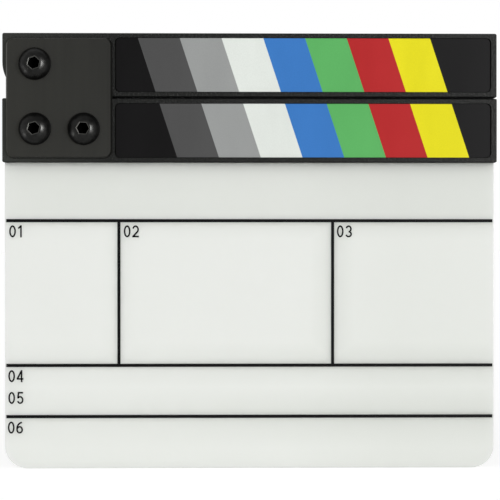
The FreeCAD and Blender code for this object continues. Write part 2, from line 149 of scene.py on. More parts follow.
class Wiring:
    """A node tree, with the nodes that turn one pattern into another."""

    def __init__(self, tree: bpy.types.NodeTree) -> None:
        """Starts from an empty tree."""
        self.tree = tree
        self.tree.nodes.clear()

    def ramp(
        self, pattern: Socket, low: float, high: float, start: float = 0.0, end: float = 1.0
    ) -> Socket:
        """Spreads a pattern over a range of values.

        Args:
            pattern: The pattern.
            low: Value where the pattern has not passed its start.
            high: Value where the pattern has reached its end.
            start: The pattern's value that becomes low.
            end: The pattern's value that becomes high.

        Returns:
            The spread pattern.
        """
        node = self.tree.nodes.new("ShaderNodeMapRange")
        names = ("From Min", "From Max", "To Min", "To Max")
        for name, number in zip(names, (start, end, low, high)):
            node.inputs[name].default_value = number
        self.tree.links.new(pattern, node.inputs["Value"])
        return node.outputs["Result"]

    def combine(self, how: Join, *patterns: Socket) -> Socket:
        """Joins patterns one after another.

        Args:
            how: The way to join them.
            *patterns: The patterns, in order.

        Returns:
            The joined pattern.
        """
        joined = patterns[0]
        for pattern in patterns[1:]:
            node = self.tree.nodes.new("ShaderNodeMath")
            node.operation = how.value
            self.tree.links.new(joined, node.inputs[0])
            self.tree.links.new(pattern, node.inputs[1])
            joined = node.outputs["Value"]
        return joined

    def seen_directly(self) -> Socket:
        """1 for what the camera, a reflection or a clear surface shows, and 0 for scattered light.

        Returns:
            The largest of the three kinds of ray.
        """
        path = self.tree.nodes.new("ShaderNodeLightPath")
        kinds = ("Is Camera Ray", "Is Glossy Ray", "Is Transmission Ray")
        return self.combine(Join.LARGEST, *(path.outputs[kind] for kind in kinds))


class Coating(Wiring):
    """The node tree of one finish: a Principled shader that reads the piece's own coordinates."""

    def __init__(self, name: str) -> None:
        """Starts a material with an unlinked Principled shader.

        Args:
            name: Name of the material.
        """
        self.material = bpy.data.materials.new(name)
        self.material.use_nodes = True
        super().__init__(self.material.node_tree)
        self.shader = self.tree.nodes.new("ShaderNodeBsdfPrincipled")
        output = self.tree.nodes.new("ShaderNodeOutputMaterial")
        self.tree.links.new(self.shader.outputs["BSDF"], output.inputs["Surface"])
        self.place = self.tree.nodes.new("ShaderNodeTexCoord")

    def set(self, **values: float | Colour) -> None:
        """Sets even values on the shader's own sockets.

        Args:
            **values: Socket names, with underscores for spaces, and their values.
        """
        names = {socket.name.lower(): socket for socket in self.shader.inputs}
        for name, value in values.items():
            names[name.replace("_", " ")].default_value = value

    def feed(self, socket: str, source: Socket) -> None:
        """Links a pattern to one of the shader's sockets."""
        self.tree.links.new(source, self.shader.inputs[socket])

    def noise(
        self,
        pitch_mm: float,
        detail: Detail,
        stretch: Point = (1.0, 1.0, 1.0),
        turn: Point = (0.0, 0.0, 0.0),
    ) -> Socket:
        """Cloudy noise in the piece's own coordinates.

        Args:
            pitch_mm: Size of one cloud in millimetres.
            detail: How finely it is layered.
            stretch: How many times longer a cloud is along each axis.
            turn: Turn of the pattern about each axis, in radians.

        Returns:
            The noise, from 0 to 1 with most of it near 0.5.
        """
        mapping = self.tree.nodes.new("ShaderNodeMapping")
        mapping.inputs["Rotation"].default_value = turn
        mapping.inputs["Scale"].default_value = tuple(1.0 / length for length in stretch)
        texture = self.tree.nodes.new("ShaderNodeTexNoise")
        texture.inputs["Scale"].default_value = 1.0 / (pitch_mm * MILLIMETRE)
        texture.inputs["Detail"].default_value = detail.value
        self.tree.links.new(self.place.outputs["Object"], mapping.inputs["Vector"])
        self.tree.links.new(mapping.outputs["Vector"], texture.inputs["Vector"])
        return texture.outputs["Fac"]

    def clouds(
        self,
        pitch_mm: float,
        detail: Detail = Detail.FINE,
        stretch: Point = (1.0, 1.0, 1.0),
        turn: Point = (0.0, 0.0, 0.0),
        levels: Span = (0.0, 1.0),
    ) -> Socket:
        """The same noise, spread between a least and a greatest level."""
        return self.ramp(self.noise(pitch_mm, detail, stretch, turn), *levels, *NOISE_SPAN)

    def cells(self, pitch_mm: float, smoothness: float) -> Socket:
        """Rounded cells, as of moulded grain.

        Args:
            pitch_mm: Size of one cell in millimetres.
            smoothness: How softly the cells run together, from 0 to 1.

        Returns:
            The distance to the cell's middle, from 0 there to about 1 at its border.
        """
        texture = self.tree.nodes.new("ShaderNodeTexVoronoi")
        texture.feature = "SMOOTH_F1"
        texture.inputs["Scale"].default_value = 1.0 / (pitch_mm * MILLIMETRE)
        texture.inputs["Smoothness"].default_value = smoothness
        self.tree.links.new(self.place.outputs["Object"], texture.inputs["Vector"])
        return texture.outputs["Distance"]

    def mix(self, pattern: Socket, under: Socket | Colour, over: Socket | Colour) -> Socket:
        """Lays one colour over another where a pattern is 1.

        Args:
            pattern: 0 where the lower colour shows alone, and 1 where the upper one does.
            under: The lower colour, even and linear, or patterned.
            over: The upper colour, even and linear, or patterned.

        Returns:
            The mixed colour.
        """
        node = self.tree.nodes.new("ShaderNodeMix")
        node.data_type = "RGBA"
        self.tree.links.new(pattern, node.inputs["Factor"])
        places = [socket for socket in node.inputs if socket.type == "RGBA"]
        for place, colour in zip(places, (under, over)):
            if isinstance(colour, Socket):
                self.tree.links.new(colour, place)
            else:
                place.default_value = (*colour, 1.0)
        return next(socket for socket in node.outputs if socket.type == "RGBA")

    def tones(self, pattern: Socket, colour: Colour, factors: Span) -> Socket:
        """A colour that runs between two of its shades, the first where a pattern is 0."""
        return self.mix(pattern, *(shade(colour, factor) for factor in factors))

    def relief(self, height: Socket, depth_mm: float, strength: float = 0.5) -> None:
        """Embosses the surface.

        Args:
            height: Pattern of the relief, 0 to 1.
            depth_mm: Depth of the relief in millimetres.
            strength: Share of the relief that shows.
        """
        node = self.tree.nodes.new("ShaderNodeBump")
        node.inputs["Strength"].default_value = strength
        node.inputs["Distance"].default_value = depth_mm * MILLIMETRE
        self.tree.links.new(height, node.inputs["Height"])
        self.feed("Normal", node.outputs["Normal"])

    def part(self, reading: Reading, axis: Axis) -> Socket:
        """One axis of the surface's place or outward direction.

        Args:
            reading: The place or the outward direction.
            axis: The axis.

        Returns:
            The value along that axis.
        """
        split = self.tree.nodes.new("ShaderNodeSeparateXYZ")
        self.tree.links.new(self.place.outputs[reading.value], split.inputs["Vector"])
        return split.outputs[axis.value]

    def rise(self, axis: Axis, ends_mm: Span) -> Socket:
        """A pattern that rises from 0 to 1 between two places along one of the piece's own axes."""
        ends = (place * MILLIMETRE for place in ends_mm)
        return self.ramp(self.part(Reading.PLACE, axis), 0.0, 1.0, *ends)

    def apart(self, reading: Reading, axis: Axis, value: float = 0.0) -> Socket:
        """How far one axis of the surface's place or outward direction is from a value.

        Args:
            reading: The place or the outward direction.
            axis: The axis.
            value: The value along it.

        Returns:
            The distance.
        """
        offset = self.tree.nodes.new("ShaderNodeMath")
        offset.operation = "SUBTRACT"
        offset.inputs[1].default_value = value
        size = self.tree.nodes.new("ShaderNodeMath")
        size.operation = "ABSOLUTE"
        self.tree.links.new(self.part(reading, axis), offset.inputs[0])
        self.tree.links.new(offset.outputs["Value"], size.inputs[0])
        return size.outputs["Value"]

    def facing_out(self) -> Socket:
        """1 where the surface looks straight forwards or back, and 0 where it looks sideways."""
        return self.apart(Reading.FACING, Axis.DEPTH)

    def edge_faces(self, turned: Span = (0.3, 0.9)) -> Socket:
        """1 on faces that look sideways, and 0 on those that look forwards or back."""
        return self.ramp(self.facing_out(), 1.0, 0.0, *turned)

    def axis_distance(self, axes: tuple[Span, ...]) -> Socket:
        """Distance from the nearest of several axes that run along Y.

        Args:
            axes: Place across and up of each axis, in metres.

        Returns:
            The distance in metres.
        """
        distances = []
        for across, up in axes:
            offset = self.tree.nodes.new("ShaderNodeVectorMath")
            offset.operation = "SUBTRACT"
            offset.inputs[1].default_value = (across, 0.0, up)
            flat = self.tree.nodes.new("ShaderNodeVectorMath")
            flat.operation = "MULTIPLY"
            flat.inputs[1].default_value = (1.0, 0.0, 1.0)
            length = self.tree.nodes.new("ShaderNodeVectorMath")
            length.operation = "LENGTH"
            self.tree.links.new(self.place.outputs["Object"], offset.inputs[0])
            self.tree.links.new(offset.outputs["Vector"], flat.inputs[0])
            self.tree.links.new(flat.outputs["Vector"], length.inputs[0])
            distances.append(length.outputs["Value"])
        return self.combine(Join.SMALLEST, *distances)


# In the finishes below, tones are factors of the colour, shares are strengths of a pattern, and names
# that end in _mm are lengths or places in millimetres. Tones of painted light and painted shade are
# factors too.


@dataclass(frozen=True)
class ShadeBand:
    """A band of painted shade on the sheet beside one of its rules, full at the rule and fading out to
    its reach.
    """

    place_mm: float
    reach_mm: float
    share: float

    def spread(self, coat: Coating, axis: Axis) -> Socket:
        """The band's pattern along the axis across the rule: its share there, falling evenly to 0."""
        apart = coat.apart(Reading.PLACE, axis, self.place_mm * MILLIMETRE)
        return coat.ramp(apart, self.share, 0.0, 0.0, self.reach_mm * MILLIMETRE)


@dataclass(frozen=True)
class OpalAcrylic:
    """Opal acrylic sheet: light scatters inside it, so that it darkens softly beside the ink on it.

    Its faces are polished, with faint wipe marks, and its cut edges are satin. Its colour carries
    painted
    shade: greyer under the sticks, towards the right and at the foot, and in bands beside the rules,
    where light is lost under the ink.
    """

    colour: Colour = linear(235, 238, 232)
    specular: float = 0.3
    scatter_mm: float = 7.0
    cloud_mm: float = 35.0
    cloud_tones: Span = (0.99, 1.0)
    # Tones and reaches of painted shade: darker towards the right, at the foot, under the sticks and
    # beside the rules.
    grey: float = 0.91
    right_shade_mm: Span = (15.0, 60.0)
    right_shade_share: float = 0.6
    foot_shade_mm: Span = (16.0, 2.0)
    foot_shade_share: float = 0.4
    header_shade_mm: Span = (97.0, 106.0)
    header_shade_tones: Span = (0.9, 0.84)
    rule_shade_tone: float = 0.84
    rows: tuple[ShadeBand, ...] = (
        ShadeBand(21.1, 13.0, 1.0),
        ShadeBand(42.0, 9.5, 0.85),
        ShadeBand(101.1, 7.5, 0.7),
    )
    columns: tuple[ShadeBand, ...] = (ShadeBand(-53.5, 8.0, 0.4), ShadeBand(33.85, 9.0, 0.6))
    row_fade: float = 1.02
    band_growth_mm: Span = (-60.0, 60.0)
    band_growth_share: Span = (0.4, 1.1)
    front_facing: Span = (-0.5, 0.5)
    wipe_mm: float = 6.0
    wipe_stretch: Point = (4.0, 1.0, 1.0)
    wipe_turn: Point = (0.0, 0.35, 0.0)
    polish: Span = (0.267, 0.273)
    edge_roughness: float = 0.2
    ripple_mm: float = 2.2
    relief_mm: float = 0.002

    def rule_shade(self, coat: Coating) -> Socket:
        """Painted shade beside the rules: the strongest of the bands, on the front face.

        The bands along the columns' rules end at the rows.

        Args:
            coat: Node tree of the sheet's material.

        Returns:
            The pattern.
        """
        low, high = (row.place_mm * MILLIMETRE for row in self.rows[1:])
        half = (high - low) / 2
        middle = coat.apart(Reading.PLACE, Axis.UP, low + half)
        field = coat.ramp(middle, 1.0, 0.0, half, self.row_fade * half)
        bands = [row.spread(coat, Axis.UP) for row in self.rows]
        for column in self.columns:
            bands.append(coat.combine(Join.PRODUCT, column.spread(coat, Axis.ACROSS), field))
        strongest = coat.combine(Join.LARGEST, *bands)
        front = coat.ramp(coat.part(Reading.FACING, Axis.DEPTH), 1.0, 0.0, *self.front_facing)
        # The painted shade grows stronger towards the right.
        band_growth = coat.ramp(coat.rise(Axis.ACROSS, self.band_growth_mm), *self.band_growth_share)
        return coat.combine(Join.PRODUCT, strongest, front, band_growth)

    def make(self) -> Material:
        """Builds the sheet's material.

        Returns:
            The material.
        """
        coat = Coating("opal_acrylic")
        coat.set(
            specular_ior_level=self.specular,
            subsurface_weight=1.0,
            subsurface_radius=(1.0, 1.0, 1.0),
            subsurface_scale=self.scatter_mm * MILLIMETRE,
        )
        edge = coat.edge_faces()
        milk = coat.combine(Join.DIFFERENCE, coat.clouds(self.cloud_mm), edge)
        clean = coat.tones(milk, self.colour, self.cloud_tones)
        # Painted shade: the sheet is drawn darker towards the right and towards the foot.
        right_shade = coat.ramp(coat.rise(Axis.ACROSS, self.right_shade_mm), 0.0, self.right_shade_share)
        foot = coat.ramp(coat.rise(Axis.UP, self.foot_shade_mm), 0.0, self.foot_shade_share)
        painted_shade = coat.combine(Join.SUM, right_shade, foot)
        shaded = coat.mix(painted_shade, clean, shade(self.colour, self.grey))
        # Painted shade beside the rules.
        written = coat.mix(self.rule_shade(coat), shaded, shade(self.colour, self.rule_shade_tone))
        # Painted shade under the sticks: the row at the top of the sheet is drawn darker, more so
        # towards the right.
        dull = coat.tones(right_shade, self.colour, self.header_shade_tones)
        coat.feed("Base Color", coat.mix(coat.rise(Axis.UP, self.header_shade_mm), written, dull))
        wipe = coat.clouds(self.wipe_mm, Detail.FINE, self.wipe_stretch, self.wipe_turn, self.polish)
        satin = coat.ramp(edge, 0.0, self.edge_roughness)
        coat.feed("Roughness", coat.combine(Join.SUM, wipe, satin))
        coat.relief(coat.noise(self.ripple_mm, Detail.SMOOTH), self.relief_mm)
        return coat.material


@dataclass(frozen=True)
class MouldedPlastic:
    """Dark moulded plastic with the fine grain of its tool, blacker on its round edges as painted shade,
    and duller there.

    It is painted paler towards the hinge end, as painted light from the left.
    """

    colour: Colour = linear(24, 25, 23)
    specular: float = 0.1
    grain_mm: float = 0.8
    grain_smoothness: float = 0.6
    grain_span: Span = (0.1, 0.7)
    grain_share: Span = (0.3, 1.0)
    grain_tones: Span = (0.3, 1.6)
    flow_mm: float = 14.0
    flow_stretch: Point = (3.0, 1.0, 1.0)
    flow_share: Span = (0.75, 1.0)
    # Tone and reach of painted light towards the hinge end, then the tone of painted shade on the round
    # edges.
    painted_light_tone: float = 3.4
    lit_across_mm: Span = (-54.0, -97.0)
    edge_shade_tone: float = 0.3
    edge_turned: Span = (0.6, 0.995)
    side_share: float = 0.2
    side_turned: Span = (0.1, 0.3)
    roughness: Span = (0.62, 0.46)
    edge_roughness: float = 0.35
    grit_mm: float = 0.22
    grit_share: float = 0.35
    relief_mm: float = 0.12
    relief_strength: float = 0.8

    def make(self) -> Material:
        """Builds the sticks' material.

        Returns:
            The material.
        """
        coat = Coating("stick_plastic")
        coat.set(specular_ior_level=self.specular)
        # Painted shade: faces that look sideways, round edges most, are drawn blacker.
        side = coat.ramp(coat.facing_out(), self.side_share, 1.0, *self.side_turned)
        edge = coat.combine(Join.PRODUCT, coat.edge_faces(self.edge_turned), side)
        cells = coat.cells(self.grain_mm, self.grain_smoothness)
        grain = coat.ramp(cells, 1.0, 0.0, *self.grain_span)
        flow = coat.clouds(self.flow_mm, Detail.FINE, self.flow_stretch)
        shares = (coat.ramp(grain, *self.grain_share), coat.ramp(flow, *self.flow_share))
        face = coat.tones(coat.combine(Join.PRODUCT, *shares), self.colour, self.grain_tones)
        # Painted light: the stick is drawn paler towards its left end.
        lit_end = coat.rise(Axis.ACROSS, self.lit_across_mm)
        face = coat.mix(lit_end, face, shade(self.colour, self.painted_light_tone))
        coat.feed("Base Color", coat.mix(edge, face, shade(self.colour, self.edge_shade_tone)))
        gloss = coat.ramp(grain, *self.roughness)
        dull = coat.ramp(edge, 0.0, self.edge_roughness)
        coat.feed("Roughness", coat.combine(Join.SUM, gloss, dull))
        grit = coat.clouds(self.grit_mm, Detail.SMOOTH, levels=(0.0, self.grit_share))
        height = coat.combine(Join.SUM, grain, grit)
        coat.relief(height, self.relief_mm, self.relief_strength)
        return coat.material


@dataclass(frozen=True)
class PrintedVinyl:
    """Satin printed film: even colour with the fine mottle of the print and a faint orange peel."""

    name: str
    colour: Colour
    gloss: float = 0.36
    gloss_span: Span = (-0.04, 0.05)
    specular: float = 0.06
    tones: Span = (0.95, 1.04)
    mottle_mm: float = 0.45
    roller_mm: float = 11.0
    roller_stretch: Point = (1.0, 1.0, 3.0)
    peel_mm: float = 1.3
    relief_mm: float = 0.006

    def make(self) -> Material:
        """Builds the film's material.

        Returns:
            The material.
        """
        coat = Coating(self.name)
        coat.set(specular_ior_level=self.specular)
        mottle = coat.clouds(self.mottle_mm)
        roller = coat.clouds(self.roller_mm, Detail.SMOOTH, self.roller_stretch)
        print_marks = coat.ramp(coat.combine(Join.SUM, mottle, roller), 0.0, 1.0, *SUM_SPAN)
        coat.feed("Base Color", coat.tones(print_marks, self.colour, self.tones))
        satin = (self.gloss + step for step in self.gloss_span)
        coat.feed("Roughness", coat.ramp(roller, *satin))
        coat.relief(coat.noise(self.peel_mm, Detail.SMOOTH), self.relief_mm)
        return coat.material


@dataclass(frozen=True)
class CoatedSteel:
    """Rolled steel plate under a dark satin coating, whose rolling marks still show.

    Its colour carries painted light and shade: its edges are drawn black as painted shade, and it is
    drawn paler towards the hinge end, lower down and on its left-facing edges, as painted light from the
    lower left.
    """

    colour: Colour = linear(35, 35, 31)
    specular: float = 0.15
    tones: Span = (0.86, 1.14)
    rolled_mm: float = 1.6
    rolled_stretch: Point = (1.0, 1.0, 40.0)
    speck_mm: float = 0.3
    # Tones and reaches of painted light towards the hinge end and lower down, of painted shade on the
    # edges, and of painted light on the left-facing edges.
    painted_light_tone: float = 1.5
    lit_across_mm: Span = (-58.0, -130.0)
    lit_up_mm: Span = (170.0, 125.0)
    lit_up_share: float = 0.3
    edge_shade_tone: float = 0.1
    edge_polish: float = 0.3
    lit_edge_tone: float = 2.4
    lit_facing: Span = (-0.6, -0.2)
    roughness: Span = (0.44, 0.56)
    rolled_share: float = 0.5
    relief_mm: float = 0.012

    def make(self) -> Material:
        """Builds the hinge plates' material.

        Returns:
            The material.
        """
        coat = Coating("hinge_steel")
        coat.set(specular_ior_level=self.specular)
        rolled = coat.clouds(self.rolled_mm, Detail.FINE, self.rolled_stretch)
        speck = coat.clouds(self.speck_mm, Detail.SMOOTH)
        marks = coat.ramp(coat.combine(Join.SUM, rolled, speck), 0.0, 1.0, *SUM_SPAN)
        face = coat.tones(marks, self.colour, self.tones)
        # Painted light: the plate is drawn paler towards its left end and lower down.
        low = coat.ramp(coat.rise(Axis.UP, self.lit_up_mm), 0.0, self.lit_up_share)
        lit_end = coat.combine(Join.SUM, coat.rise(Axis.ACROSS, self.lit_across_mm), low)
        face = coat.mix(lit_end, face, shade(self.colour, self.painted_light_tone))
        # Painted shade on the edges that look sideways.
        edge = coat.edge_faces()
        face = coat.mix(edge, face, shade(self.colour, self.edge_shade_tone))
        # Painted light on the edges that look left.
        worn = coat.ramp(coat.part(Reading.FACING, Axis.ACROSS), 1.0, 0.0, *self.lit_facing)
        coat.feed("Base Color", coat.mix(worn, face, shade(self.colour, self.lit_edge_tone)))
        satin = coat.ramp(rolled, *self.roughness)
        polish = coat.ramp(edge, 0.0, self.edge_polish)
        coat.feed("Roughness", coat.combine(Join.DIFFERENCE, satin, polish))
        height = coat.combine(Join.SUM, speck, coat.ramp(rolled, 0.0, self.rolled_share))
        coat.relief(height, self.relief_mm)
        return coat.material


@dataclass(frozen=True)
class BlackOxide:
    """Blackened steel of the screws and nuts: a dark satin, worn to the metal on the sockets' lips.

    The insides of the sockets are drawn near black as painted shade, and rough.
    """

    colour: Colour = (0.017, 0.017, 0.0165)
    tones: Span = (0.8, 1.2)
    bloom_mm: float = 1.8
    bare: Colour = (0.06, 0.06, 0.056)
    # Near-black painted shade inside the sockets.
    socket_shade: Colour = (0.0015, 0.0015, 0.0015)
    lip_mm: float = 2.93
    lip_fade: float = 1.01
    lip_depth_mm: float = 0.25
    lip_step_mm: float = 0.01
    lip_slopes: tuple[Span, Span] = ((0.6, 0.75), (0.88, 0.96))
    socket_shade_fade_mm: float = 0.2
    roughness: Span = (0.3, 0.38)
    lip_roughness: float = 0.25
    socket_roughness: float = 0.6
    ripple_mm: float = 0.35
    relief_mm: float = 0.003

    def make(self, axes: tuple[Span, ...], crown: float) -> Material:
        """Builds the fasteners' material.

        Args:
            axes: Place across and up of the screws' axes, in metres.
            crown: Distance of the heads' tops from the board's middle plane, in metres.

        Returns:
            The material.
        """
        coat = Coating("black_oxide_steel")
        coat.set(metallic=1.0)
        bloom = coat.clouds(self.bloom_mm)
        oxide = coat.tones(bloom, self.colour, self.tones)
        lip = self.lip_mm * MILLIMETRE
        start = crown - self.lip_depth_mm * MILLIMETRE
        within = coat.ramp(coat.axis_distance(axes), 1.0, 0.0, lip, self.lip_fade * lip)
        depth = coat.apart(Reading.PLACE, Axis.DEPTH)
        top = coat.ramp(depth, 0.0, 1.0, start, start + self.lip_step_mm * MILLIMETRE)
        below = coat.ramp(depth, 1.0, 0.0, start - self.socket_shade_fade_mm * MILLIMETRE, start)
        slope = coat.facing_out()
        steep, flat = self.lip_slopes
        bevel = (coat.ramp(slope, 0.0, 1.0, *steep), coat.ramp(slope, 1.0, 0.0, *flat))
        worn = coat.combine(Join.PRODUCT, *bevel, within, top)
        # Painted shade: the insides of the sockets are drawn near black.
        inside = coat.combine(Join.PRODUCT, within, below)
        face = coat.mix(inside, oxide, self.socket_shade)
        coat.feed("Base Color", coat.mix(worn, face, self.bare))
        satin = coat.ramp(bloom, *self.roughness)
        scuffs = coat.ramp(worn, 0.0, self.lip_roughness)
        rough_socket = coat.ramp(inside, 0.0, self.socket_roughness)
        coat.feed("Roughness", coat.combine(Join.SUM, satin, scuffs, rough_socket))
        coat.relief(coat.noise(self.ripple_mm, Detail.SMOOTH), self.relief_mm)
        return coat.material


@dataclass(frozen=True)
class PatchyFinish:
    """A finish whose colour, gloss and relief follow one cloudy pattern."""

    name: str
    colour: Colour
    tones: Span
    patch_mm: float
    roughness: Span
    relief_mm: float
    specular: float = 0.5
    metallic: float = 0.0

    def height(self, coat: Coating, patch: Socket) -> Socket:
        """The relief's pattern: the patches themselves."""
        return patch

    def make(self) -> Material:
        """Builds the material.

        Returns:
            The material.
        """
        coat = Coating(self.name)
        coat.set(specular_ior_level=self.specular, metallic=self.metallic)
        patch = coat.clouds(self.patch_mm)
        coat.feed("Base Color", coat.tones(patch, self.colour, self.tones))
        coat.feed("Roughness", coat.ramp(patch, *self.roughness))
        coat.relief(self.height(coat, patch), self.relief_mm)
        return coat.material


@dataclass(frozen=True)
class Ink(PatchyFinish):
    """Black printing ink, slightly patchy in its cover and its gloss."""

    name: str = "printing_ink"
    colour: Colour = linear(13, 13, 14)
    tones: Span = (0.75, 1.5)
    patch_mm: float = 0.7
    roughness: Span = (0.42, 0.58)
    relief_mm: float = 0.01
    specular: float = 0.05


@dataclass(frozen=True)
class BushBronze(PatchyFinish):
    """Sintered bronze of the pivot's bush, with dark pores."""

    name: str = "bush_bronze"
    colour: Colour = (0.42, 0.26, 0.11)
    tones: Span = (0.55, 1.0)
    patch_mm: float = 0.4
    roughness: Span = (0.5, 0.34)
    relief_mm: float = 0.01
    metallic: float = 1.0


@dataclass(frozen=True)
class Nylon(PatchyFinish):
    """Natural nylon of the pivot's washers, waxy and slightly cloudy, with a fine ripple."""

    name: str = "nylon"
    colour: Colour = linear(214, 210, 198)
    tones: Span = (0.92, 1.0)
    patch_mm: float = 2.5
    roughness: Span = (0.4, 0.52)
    relief_mm: float = 0.004
    specular: float = 0.4
    ripple_mm: float = 0.6

    def height(self, coat: Coating, patch: Socket) -> Socket:
        """The relief's pattern: a ripple finer than the patches."""
        return coat.noise(self.ripple_mm, Detail.SMOOTH)


def dress(node: str, material: Material) -> None:
    """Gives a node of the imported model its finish.

    Args:
        node: Name of the node.
        material: The finish for all its material slots.
    """
    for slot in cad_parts[node].material_slots:
        slot.material = material
    log.info("dressed %s in %s", node, material.name)


def quad_piece(name: str, vertices: np.ndarray, quads: np.ndarray) -> bpy.types.Object:
    """Puts four-sided faces into a new object at the origin.

    Args:
        name: Name of the piece.
        vertices: Points in metres, one row each.
        quads: The four point numbers of each face, one row each.

    Returns:
        The piece, linked to the scene.
    """
    mesh = bpy.data.meshes.new(name)
    mesh.vertices.add(len(vertices))
    mesh.vertices.foreach_set("co", np.ascontiguousarray(vertices, np.float32).ravel())
    mesh.loops.add(quads.size)
    mesh.loops.foreach_set("vertex_index", np.ascontiguousarray(quads, np.int32).ravel())
    mesh.polygons.add(len(quads))
    mesh.polygons.foreach_set("loop_start", np.arange(0, quads.size, 4, dtype=np.int32))
    mesh.update(calc_edges=True)
    mesh.validate()
    piece = bpy.data.objects.new(name, mesh)
    bpy.context.scene.collection.objects.link(piece)
    return piece


def bow(centre: Span, reach: Span, start: float, end: float, step: float = 6.0) -> np.ndarray:
    """A run of points on an ellipse: centre plus reach times cosine and sine of an even turn.

    Args:
        centre: Middle of the ellipse.
        reach: Its half width and half height.
        start: Turn of the first point in degrees.
        end: Turn of the last point in degrees.
        step: Largest turn between two points in degrees.

    Returns:
        The points, one row each.
    """
    turn = np.radians(np.linspace(start, end, 2 + int(abs(end - start) // step)))
    return np.column_stack(
        (centre[0] + reach[0] * np.cos(turn), centre[1] + reach[1] * np.sin(turn))
    )


class Digit(Enum):
    """The plain digits, drawn as strokes in a cell of height 1."""

    ZERO = 0
    ONE = 1
    TWO = 2
    THREE = 3
    FOUR = 4
    FIVE = 5
    SIX = 6

    def strokes(self, width: float, pen: float) -> list[np.ndarray]:
        """The centre lines of the digit's strokes.

        Args:
            width: Width of the cell, where its height is 1.
            pen: Width of a stroke.

        Returns:
            One array of points for each stroke.
        """
        half = pen / 2
        middle = width / 2
        side = middle - half
        drawn = {
            Digit.ZERO: [bow((middle, 0.5), (side, 0.5 - half), 0, 360)],
            Digit.ONE: [((middle, 0.0), (middle, 1.0)), ((0.1 * width, 0.74), (middle, 0.95))],
            Digit.TWO: [
                np.vstack((bow((middle, 0.72 - half), (side, 0.28), 165, -38), ((half, half),))),
                ((0.0, half), (width, half)),
            ],
            Digit.THREE: [
                bow((middle, 0.77 - half), (0.9 * side, 0.23), 165, -90),
                bow((middle, 0.27), (side, 0.27 - half), 90, -165),
            ],
            Digit.FOUR: [
                ((0.72 * width, 0.0), (0.72 * width, 1.0)),
                ((0.72 * width, 0.96), (half, 0.31)),
                ((0.0, 0.27), (width, 0.27)),
            ],
            Digit.FIVE: [
                ((0.24 * width, 1.0 - half), (0.94 * width, 1.0 - half)),
                ((0.28 * width, 1.0), (0.16 * width, 0.46)),
                bow((middle, 0.33), (side, 0.33 - half), 142, -160),
            ],
            Digit.SIX: [
                bow((middle, 0.315), (side, 0.315 - half), 0, 360),
                np.vstack((bow((width, 0.45), (width - half, 0.55 - half), 100, 180), ((half, 0.3),))),
            ],
        }
        return [np.asarray(stroke, float) for stroke in drawn[self]]


def pen_stroke(
    path: np.ndarray, pen: float, deep: float, proud: float, crest: float = 0.92
) -> tuple[np.ndarray, np.ndarray]:
    """Carries a low trapezium along a path that lies on the board's face.

    Each corner of the trapezium is the path moved sideways along the mitre by half the width there.
    The mitre is the sum of the two neighbouring normals divided by one plus their product.

    Args:
        path: Points across and up, one row each. It is closed if its ends meet.
        pen: Width of the stroke's foot.
        deep: Depth of the stroke's foot along Y.
        proud: Depth of its upper face along Y.
        crest: Width of its upper face as a share of the pen.

    Returns:
        The points, and the four point numbers of each face.
    """
    closed = np.allclose(path[0], path[-1])
    path = path[:-1] if closed else path
    step = np.diff(np.vstack((path, path[:1])), axis=0)
    normal = np.column_stack((-step[:, 1], step[:, 0])) / np.linalg.norm(step, axis=1)[:, None]
    normal[-1] = normal[-1] if closed else normal[-2]
    before = np.roll(normal, 1, axis=0)
    before[0] = before[0] if closed else normal[0]
    mitre = (before + normal) / (1.0 + np.sum(before * normal, axis=1))[:, None]
    foot, top = 0.5, crest / 2
    profile = np.array(((-foot, deep), (-top, proud), (top, proud), (foot, deep)))
    flat = path[:, None, :] + mitre[:, None, :] * (pen * profile[None, :, :1])
    depth = np.broadcast_to(profile[None, :, 1:], flat.shape[:2] + (1,))
    points = np.concatenate((flat[..., :1], depth, flat[..., 1:]), axis=2).reshape(-1, 3)
    count = len(path)
    ring = np.arange(count if closed else count - 1)
    corner = np.arange(4)
    here = 4 * ring[:, None] + corner[None, :]
    there = 4 * ((ring + 1) % count)[:, None] + corner[None, :]
    sides = (here, there, np.roll(there, -1, axis=1), np.roll(here, -1, axis=1))
    walls = np.stack(sides, axis=2).reshape(-1, 4)
    if closed:
        return points, walls
    ends = np.vstack((corner, 4 * count - 1 - corner))
    return points, np.vstack((walls, ends))


